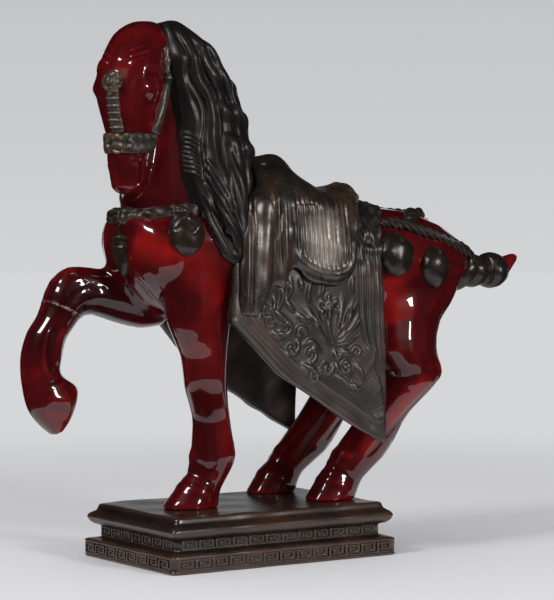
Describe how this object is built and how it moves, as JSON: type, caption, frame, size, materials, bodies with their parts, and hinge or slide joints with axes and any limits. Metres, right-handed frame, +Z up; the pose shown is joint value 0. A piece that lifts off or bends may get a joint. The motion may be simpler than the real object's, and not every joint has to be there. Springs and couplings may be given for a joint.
{
  "type": "ceramic horse figurine",
  "caption": "Glazed ceramic horse with a raised foreleg, dark mane, saddle, cloth and harness, on a stepped rectangular plinth.",
  "frame": {"origin": "on the standing surface, under the middle of the figure's outline", "axes": "+X from the head towards the tail, +Y towards the horse's right side, +Z up"},
  "size_m": [0.416, 0.1258, 0.38],
  "materials": {
    "red_glaze": "high-gloss ox-blood red glaze",
    "dark_slip": "burnished dark bronze slip, rubbed brown and grey on its ridges",
    "gilt_slip": "dark slip with worn gilding",
    "plinth_slip": "burnished dark bronze slip, rubbed brown on its edges"
  },
  "bodies": {
    "root": {"plinth": "plinth_slip", "torso": "red_glaze", "neck": "red_glaze", "head": "red_glaze", "left_foreleg": "red_glaze", "right_forearm": "red_glaze", "right_lower_foreleg": "red_glaze", "left_hindleg": "red_glaze", "right_hindleg": "red_glaze", "tail": "red_glaze", "tail_wrap": "dark_slip", "mane": "dark_slip", "saddle_cloth_left": "dark_slip", "saddle_cloth_right": "dark_slip", "front_fold_left": "dark_slip", "front_fold_right": "dark_slip", "pommel": "dark_slip", "saddle_seat": "dark_slip", "cantle": "dark_slip", "saddle_skirt_left": "dark_slip", "saddle_skirt_right": "dark_slip", "breast_strap": "dark_slip", "breast_bell_left": "dark_slip", "breast_leaf": "dark_slip", "breast_bell_right": "dark_slip", "breast_boss_left": "gilt_slip", "breast_boss_middle": "gilt_slip", "breast_boss_right": "gilt_slip", "crupper_spine_strap": "dark_slip", "crupper_side_strap_left": "dark_slip", "crupper_side_strap_right": "dark_slip", "crupper_cross_strap": "dark_slip", "crupper_knob": "dark_slip", "rump_bell_front_left": "dark_slip", "rump_bell_middle_left": "dark_slip", "rump_bell_rear_left": "dark_slip", "rump_bell_front_right": "dark_slip", "rump_bell_middle_right": "dark_slip", "rump_bell_rear_right": "dark_slip", "noseband": "gilt_slip", "face_strap": "gilt_slip", "forehead_plaque": "gilt_slip", "cheek_strap_left": "dark_slip", "cheek_rosette_left": "dark_slip", "cheek_strap_right": "dark_slip", "cheek_rosette_right": "dark_slip"}
  },
  "joints": []
}
